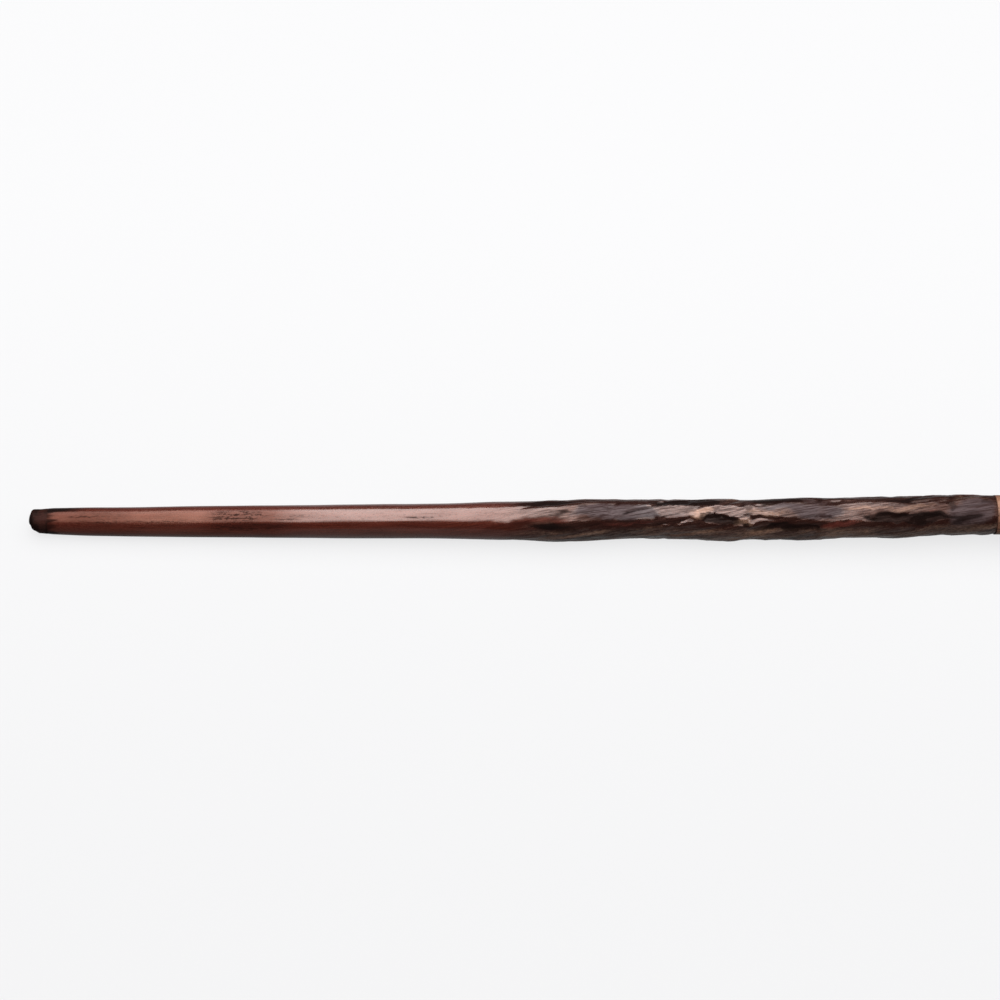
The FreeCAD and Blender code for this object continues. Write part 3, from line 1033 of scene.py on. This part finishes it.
def make_grip():
    """The lobed grip, carved as roughly as the shaft's rear half."""
    places = steps(GRIP_START, GRIP_END, GRIP_STEP)
    hearts, radii = smooth_skin("grip", places, 1.0, 1.0)
    grid = grid_over(places)
    height = 0.8 * rough_carving(grid, 71)
    knots = random_marks(75, 5, *GRIP_KNOTS_MM, (3.0, 5.0), (14, 22), (0.3, 0.55))
    height = np.clip(height - scooped(grid, knots), *GRIP_HEIGHTS_MM)
    height *= fading_at_ends(grid, GRIP_START / MM, GRIP_END / MM, 2, 2)
    skin = skin_band(places, hearts, radii + height * MM, handle_masks(grid, height))
    socket_and_bore = plain_band([
        (GRIP_END, CORE_BORE),
        (SOCKET_END, CORE_BORE),
        (SOCKET_END, SOCKET_RADIUS),
        (GRIP_START, SOCKET_RADIUS),
    ])
    material = wood_material("grip_wood", GRIP_WOOD)
    piece = chained("grip_skin", [skin, socket_and_bore], True, material)
    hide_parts("grip")
    return material


def pommel_end_face(radius):
    """The faced-off end of the pommel: tool rings round a centre dimple."""
    face = []
    for share in np.linspace(1, DIMPLE[0], END_FACE_RINGS):
        ripple = END_RING_DEPTH_MM * (1 - math.cos(share * 2 * END_TOOL_RINGS * math.pi)) / 2
        dimple = DIMPLE_DEPTH_MM * (1 - eased(share, *DIMPLE))
        face.append((POMMEL_END - (ripple + dimple) * MM, radius * share))
    return plain_band(face, carved=0.8, flecked=0.6, sheen=0.8, varnish=0.4)


def make_pommel(material):
    """The six-sided pommel, with softened flats and a few dents."""
    places = steps(POMMEL_START, POMMEL_END, POMMEL_STEP)
    hearts, radii = centred_skin("pommel", places)
    radii = blurred(radii, 1.0, 0.7)
    grid = grid_over(places)
    height = 0.05 * noise(grid, 4.0, 9, 81) + 0.02 * noise(grid, 2.5, 44, 82) - 0.07
    start, end = POMMEL_START / MM, POMMEL_END / MM
    dents = random_marks(83, 26, start, end, (0.5, 2.0), (4, 10), (0.05, 0.15))
    height = np.minimum(height - scooped(grid, dents), 0.0)
    height *= eased(grid.place, start, start + 0.6)
    skin = skin_band(places, hearts, radii + height * MM, handle_masks(grid, height + 0.03))
    pocket = plain_band([(INSERT_END, POCKET_RADIUS), (POMMEL_START, POCKET_RADIUS)])
    end_face = pommel_end_face(radii[-1].min() - END_ROUNDING)
    piece = chained("pommel_skin", [pocket, skin, end_face], False, material)
    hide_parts("pommel")


def finish_metals():
    """The steel rod and the brass bush keep their CAD shapes and get drawn and turned metal."""
    steel = metal_material("drawn_steel", DRAWN_STEEL)
    brass = metal_material("turned_brass", TURNED_BRASS)
    for node, material in (("core_rod", steel), ("pommel_insert", brass)):
        mesh = frame["nodes"][node].data
        mesh.materials.clear()
        mesh.materials.append(material)
        mesh.polygons.foreach_set("material_index", [0] * len(mesh.polygons))


# --- Stage: floor, light, world and camera ---

FLOOR_SIZE = 6.0
FLOOR_COLOUR = (0.045, 0.045, 0.0457)
FLOOR_CLOUDS = 0.97
FLOOR_GLOW_COLOUR = (1.0, 1.0, 1.006)
FLOOR_GLOW_SEEN_BY_WAND = 0.30

# The floor's glow in front of the wand and behind it, how far to each side it changes between
# them, and from where to where it rises to the backdrop's
FLOOR_GLOW = (0.740, 0.790)
GLOW_TURNS = 0.15
GLOW_RISES = (0.25, 1.8)

LIGHT_HEIGHT = 0.8
LIGHT_FRONT = -0.72
LIGHT_BACK = 0.95
LIGHT_LENGTH = 1.5
LIGHT_RADIANCE = 6.5
END_LIGHT_SIZE = 0.5
END_LIGHT_AWAY = 1.2
END_LIGHT_HEIGHT = 0.45
END_LIGHT_RADIANCE = 5.0
WORLD_DIM = 0.10
WORLD_BLUE = 1.04
WORLD_PALE = 0.93


def floor_glow(tree, place):
    """The floor's glow: pale for the camera, rising to the backdrop's, and dimmer for the wand."""
    backward = add(tree, "ShaderNodeSeparateXYZ", Vector=place).outputs[1]
    near_glow = rescaled(tree, backward, -GLOW_TURNS, GLOW_TURNS, *FLOOR_GLOW)
    distance = add(tree, "ShaderNodeVectorMath", {"operation": "LENGTH"})
    feed(tree, distance.inputs[0], place)
    far = rescaled(tree, distance.outputs["Value"], *GLOW_RISES, 0.0, 1.0)
    lack = calc(tree, "SUBTRACT", WORLD_PALE, near_glow)
    glow = calc(tree, "ADD", near_glow, times(tree, far, lack))
    seen = add(tree, "ShaderNodeLightPath").outputs["Is Camera Ray"]
    return times(tree, glow, rescaled(tree, seen, 0.0, 1.0, FLOOR_GLOW_SEEN_BY_WAND, 1.0))


def floor_material():
    """A pale table that glows, so that shadows on it stay faint."""
    material, tree, surface = new_material("pale_floor")
    place = add(tree, "ShaderNodeTexCoord").outputs["Object"]
    clouds = add(tree, "ShaderNodeTexNoise", Vector=place, Scale=3.0, Detail=1.0).outputs[0]
    darker = colour(*(FLOOR_CLOUDS * channel for channel in FLOOR_COLOUR))
    feed(tree, surface.inputs["Base Color"], blend(tree, clouds, colour(*FLOOR_COLOUR), darker))
    feed(tree, surface.inputs["Roughness"], 0.9)
    feed(tree, surface.inputs["Specular IOR Level"], 0.1)
    feed(tree, surface.inputs["Emission Color"], colour(*FLOOR_GLOW_COLOUR))
    feed(tree, surface.inputs["Emission Strength"], floor_glow(tree, place))
    return material


def make_floor():
    """A plain square table top."""
    half = FLOOR_SIZE / 2
    corners = [(-half, -half, 0), (half, -half, 0), (half, half, 0), (-half, half, 0)]
    mesh = bpy.data.meshes.new("floor")
    mesh.from_pydata(corners, [], [(0, 1, 2, 3)])
    mesh.materials.append(floor_material())
    floor = bpy.data.objects.new("floor", mesh)
    bpy.context.scene.collection.objects.link(floor)


def make_light():
    """One large soft box overhead, a little further back than forward."""
    depth = LIGHT_BACK - LIGHT_FRONT
    data = bpy.data.lights.new("soft_box", "AREA")
    data.shape = "RECTANGLE"
    data.size = LIGHT_LENGTH
    data.size_y = depth
    data.energy = LIGHT_RADIANCE * math.pi * LIGHT_LENGTH * depth
    light = bpy.data.objects.new("soft_box", data)
    light.location = (0, (LIGHT_FRONT + LIGHT_BACK) / 2, LIGHT_HEIGHT)
    bpy.context.scene.collection.objects.link(light)


def make_end_lights():
    """A small soft light past each end of the wand, for the faces that look along it."""
    for side in (-1, 1):
        data = bpy.data.lights.new("end_light", "AREA")
        data.shape = "SQUARE"
        data.size = END_LIGHT_SIZE
        data.energy = END_LIGHT_RADIANCE * math.pi * END_LIGHT_SIZE ** 2
        light = bpy.data.objects.new("end_light", data)
        light.location = (side * END_LIGHT_AWAY, 0, END_LIGHT_HEIGHT)
        light.rotation_euler = light.location.to_track_quat("Z", "Y").to_euler()
        light.visible_camera = False
        bpy.context.scene.collection.objects.link(light)


def make_world():
    """A dim room for reflections, with a pale backdrop behind the floor."""
    world = bpy.data.worlds.new("room")
    world.use_nodes = True
    tree = world.node_tree
    seen = add(tree, "ShaderNodeLightPath").outputs["Is Camera Ray"]
    dim = colour(WORLD_DIM, WORLD_DIM, WORLD_BLUE * WORLD_DIM)
    pale = colour(WORLD_PALE, WORLD_PALE, WORLD_PALE)
    feed(tree, tree.nodes["Background"].inputs["Color"], blend(tree, seen, dim, pale))
    bpy.context.scene.world = world


def make_camera():
    """The camera at the picture's angle, on the stretch of the wand that it shows."""
    elevation = math.radians(VIEW_ELEVATION)
    backward = Vector((0, -math.cos(elevation), math.sin(elevation)))
    upward = Vector((0, math.sin(elevation), math.cos(elevation)))
    middle = Vector(TIP + AXIS * VIEW_MIDDLE_MM * MM) + upward * VIEW_ABOVE_MM * MM
    data = bpy.data.cameras.new("camera")
    data.lens = VIEW_LENS
    data.sensor_width = VIEW_SENSOR
    camera = bpy.data.objects.new("camera", data)
    roll = Euler((0, 0, math.radians(VIEW_ROLL))).to_matrix()
    turn = backward.to_track_quat("Z", "Y").to_matrix() @ roll
    place = middle + backward * VIEW_WIDTH * VIEW_LENS / VIEW_SENSOR
    camera.matrix_world = Matrix.Translation(place) @ turn.to_4x4()
    bpy.context.scene.collection.objects.link(camera)
    bpy.context.scene.camera = camera


def main():
    """The wand's pieces, then the stage round them."""
    bpy.context.scene.view_settings.view_transform = "Standard"
    make_tip_cap()
    make_shaft()
    collar_material = wood_material("collar_wood", COLLAR_WOOD)
    make_collar("front_collar", SOCKET_RADIUS, COLLAR_START, COLLAR_END, collar_material, 91)
    make_collar("rear_collar", CORE_BORE, REAR_COLLAR_START, REAR_COLLAR_END, collar_material, 95)
    make_pommel(make_grip())
    finish_metals()
    make_floor()
    make_light()
    make_end_lights()
    make_world()
    make_camera()


main()
